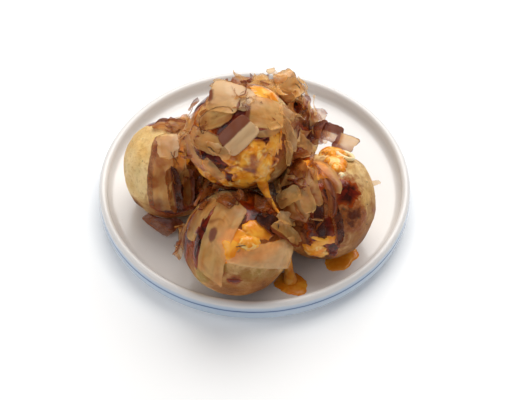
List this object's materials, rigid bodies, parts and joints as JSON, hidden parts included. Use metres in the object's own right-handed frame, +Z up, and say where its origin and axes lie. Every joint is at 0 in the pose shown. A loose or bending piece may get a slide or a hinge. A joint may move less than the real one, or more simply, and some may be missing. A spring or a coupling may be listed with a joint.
{
  "type": "takoyaki balls on a plate",
  "caption": "Round golden dough balls piled on a small shallow plate with a blue line, under brown and orange sauce and thin bonito shavings.",
  "frame": {"origin": "middle of the plate's foot, on the surface it stands on", "axes": "+Z up out of the plate; +Y away from the ball that stands at the plate's front edge; +X to that side's right, the same way as seen from the front"},
  "size_m": [0.14, 0.1401, 0.0851],
  "materials": {
    "glazed_stoneware": "glossy warm white glaze, pale blue outside with a thin dark blue line",
    "baked_dough": "golden baked batter with brown patches and a light sheen of oil",
    "dried_bonito": "thin translucent beige shavings with red-brown bands"
  },
  "bodies": {
    "root": {"plate": "glazed_stoneware", "ball_left": "baked_dough", "ball_front": "baked_dough", "ball_right": "baked_dough", "ball_back": "baked_dough", "ball_top": "baked_dough", "flake_front_wide": "dried_bonito", "flake_front_sliver": "dried_bonito", "flake_front_cross": "dried_bonito", "flake_front_ridge": "dried_bonito", "flake_front_dark": "dried_bonito", "flake_left_long": "dried_bonito", "flake_left_fold": "dried_bonito", "flake_left_inner": "dried_bonito", "flake_left_crown": "dried_bonito", "flake_left_cap": "dried_bonito", "flake_plate_dark": "dried_bonito", "flake_plate_curl": "dried_bonito", "flake_top_strip": "dried_bonito", "flake_top_oval": "dried_bonito", "flake_top_shield": "dried_bonito", "flake_top_cream": "dried_bonito", "flake_top_lower_cream": "dried_bonito", "flake_top_side": "dried_bonito", "flake_top_tan": "dried_bonito", "flake_top_purple": "dried_bonito", "flake_back_tan": "dried_bonito", "flake_back_pink": "dried_bonito", "flake_back_heap": "dried_bonito", "flake_back_crest": "dried_bonito", "flake_back_red": "dried_bonito", "flake_side_dark": "dried_bonito", "flake_side_fold": "dried_bonito", "flake_side_tan": "dried_bonito", "flake_right_brown": "dried_bonito", "flake_right_ribbon": "dried_bonito", "flake_right_beige": "dried_bonito"}
  },
  "joints": []
}
